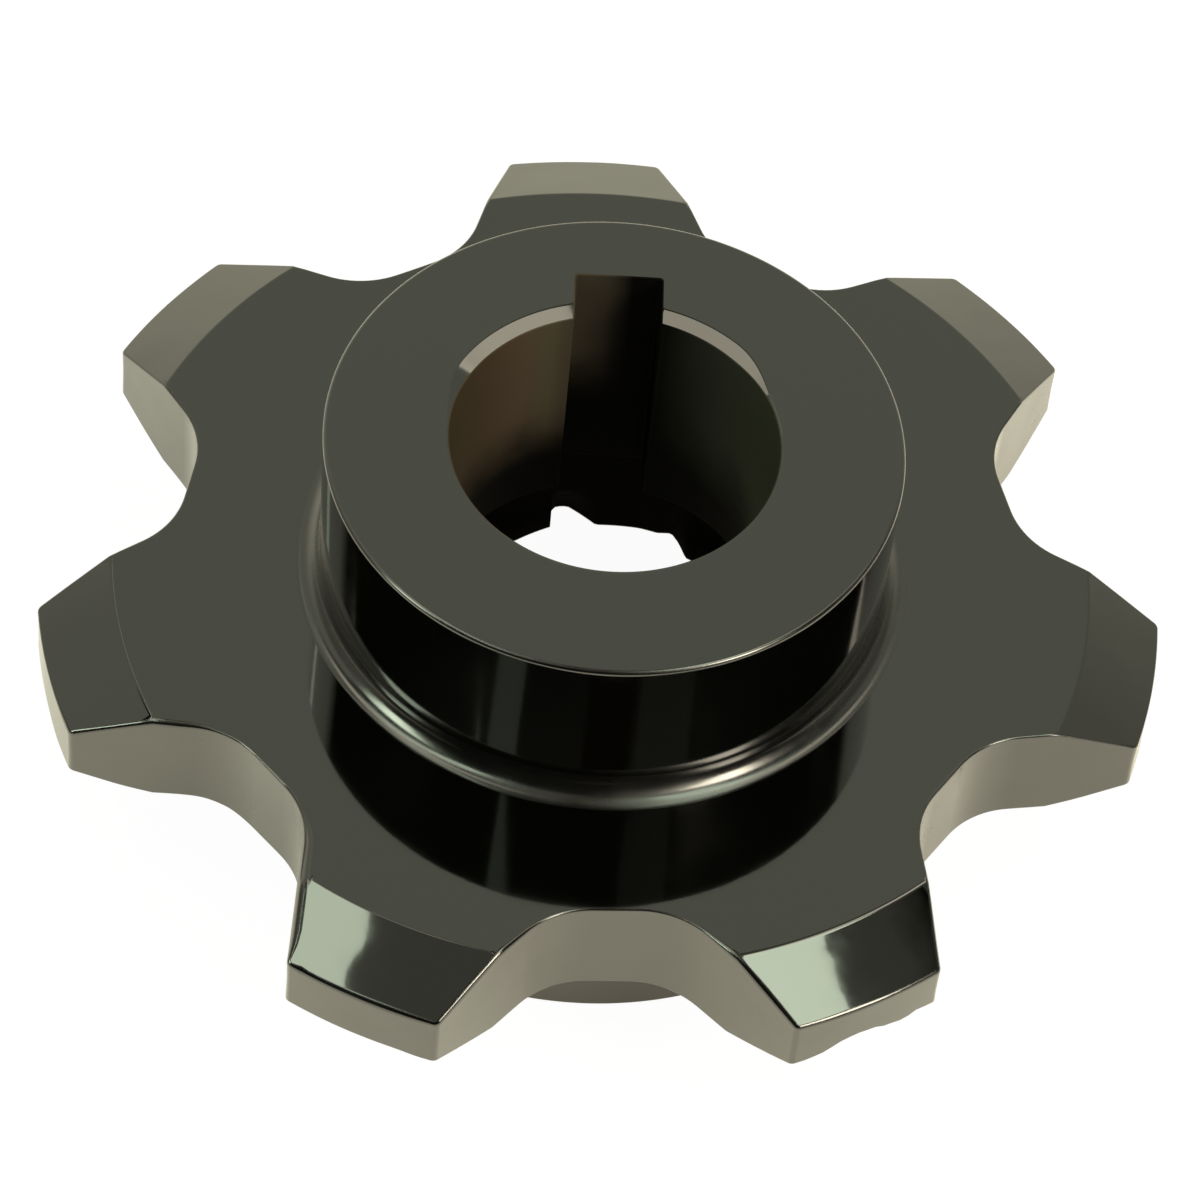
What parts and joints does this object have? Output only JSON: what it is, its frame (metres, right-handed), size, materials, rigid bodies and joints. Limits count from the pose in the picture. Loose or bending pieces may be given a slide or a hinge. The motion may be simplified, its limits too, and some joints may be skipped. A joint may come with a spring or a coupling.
{
  "type": "chain sprocket",
  "caption": "Thick toothed wheel for a roller chain, with a keyed bore, a raised hub on one side and a recessed ring on the other, in glossy dark paint.",
  "frame": {"origin": "on the bore's axis, in the middle of the toothed plate's thickness, where the chain runs", "axes": "+Z along the bore's axis towards the hub, +Y through the middle of one tooth, +X to its right seen from the hub"},
  "size_m": [0.104, 0.1019, 0.044],
  "materials": {
    "sprocket": "gloss"
  },
  "bodies": {
    "root": {"sprocket": "sprocket"}
  },
  "joints": []
}
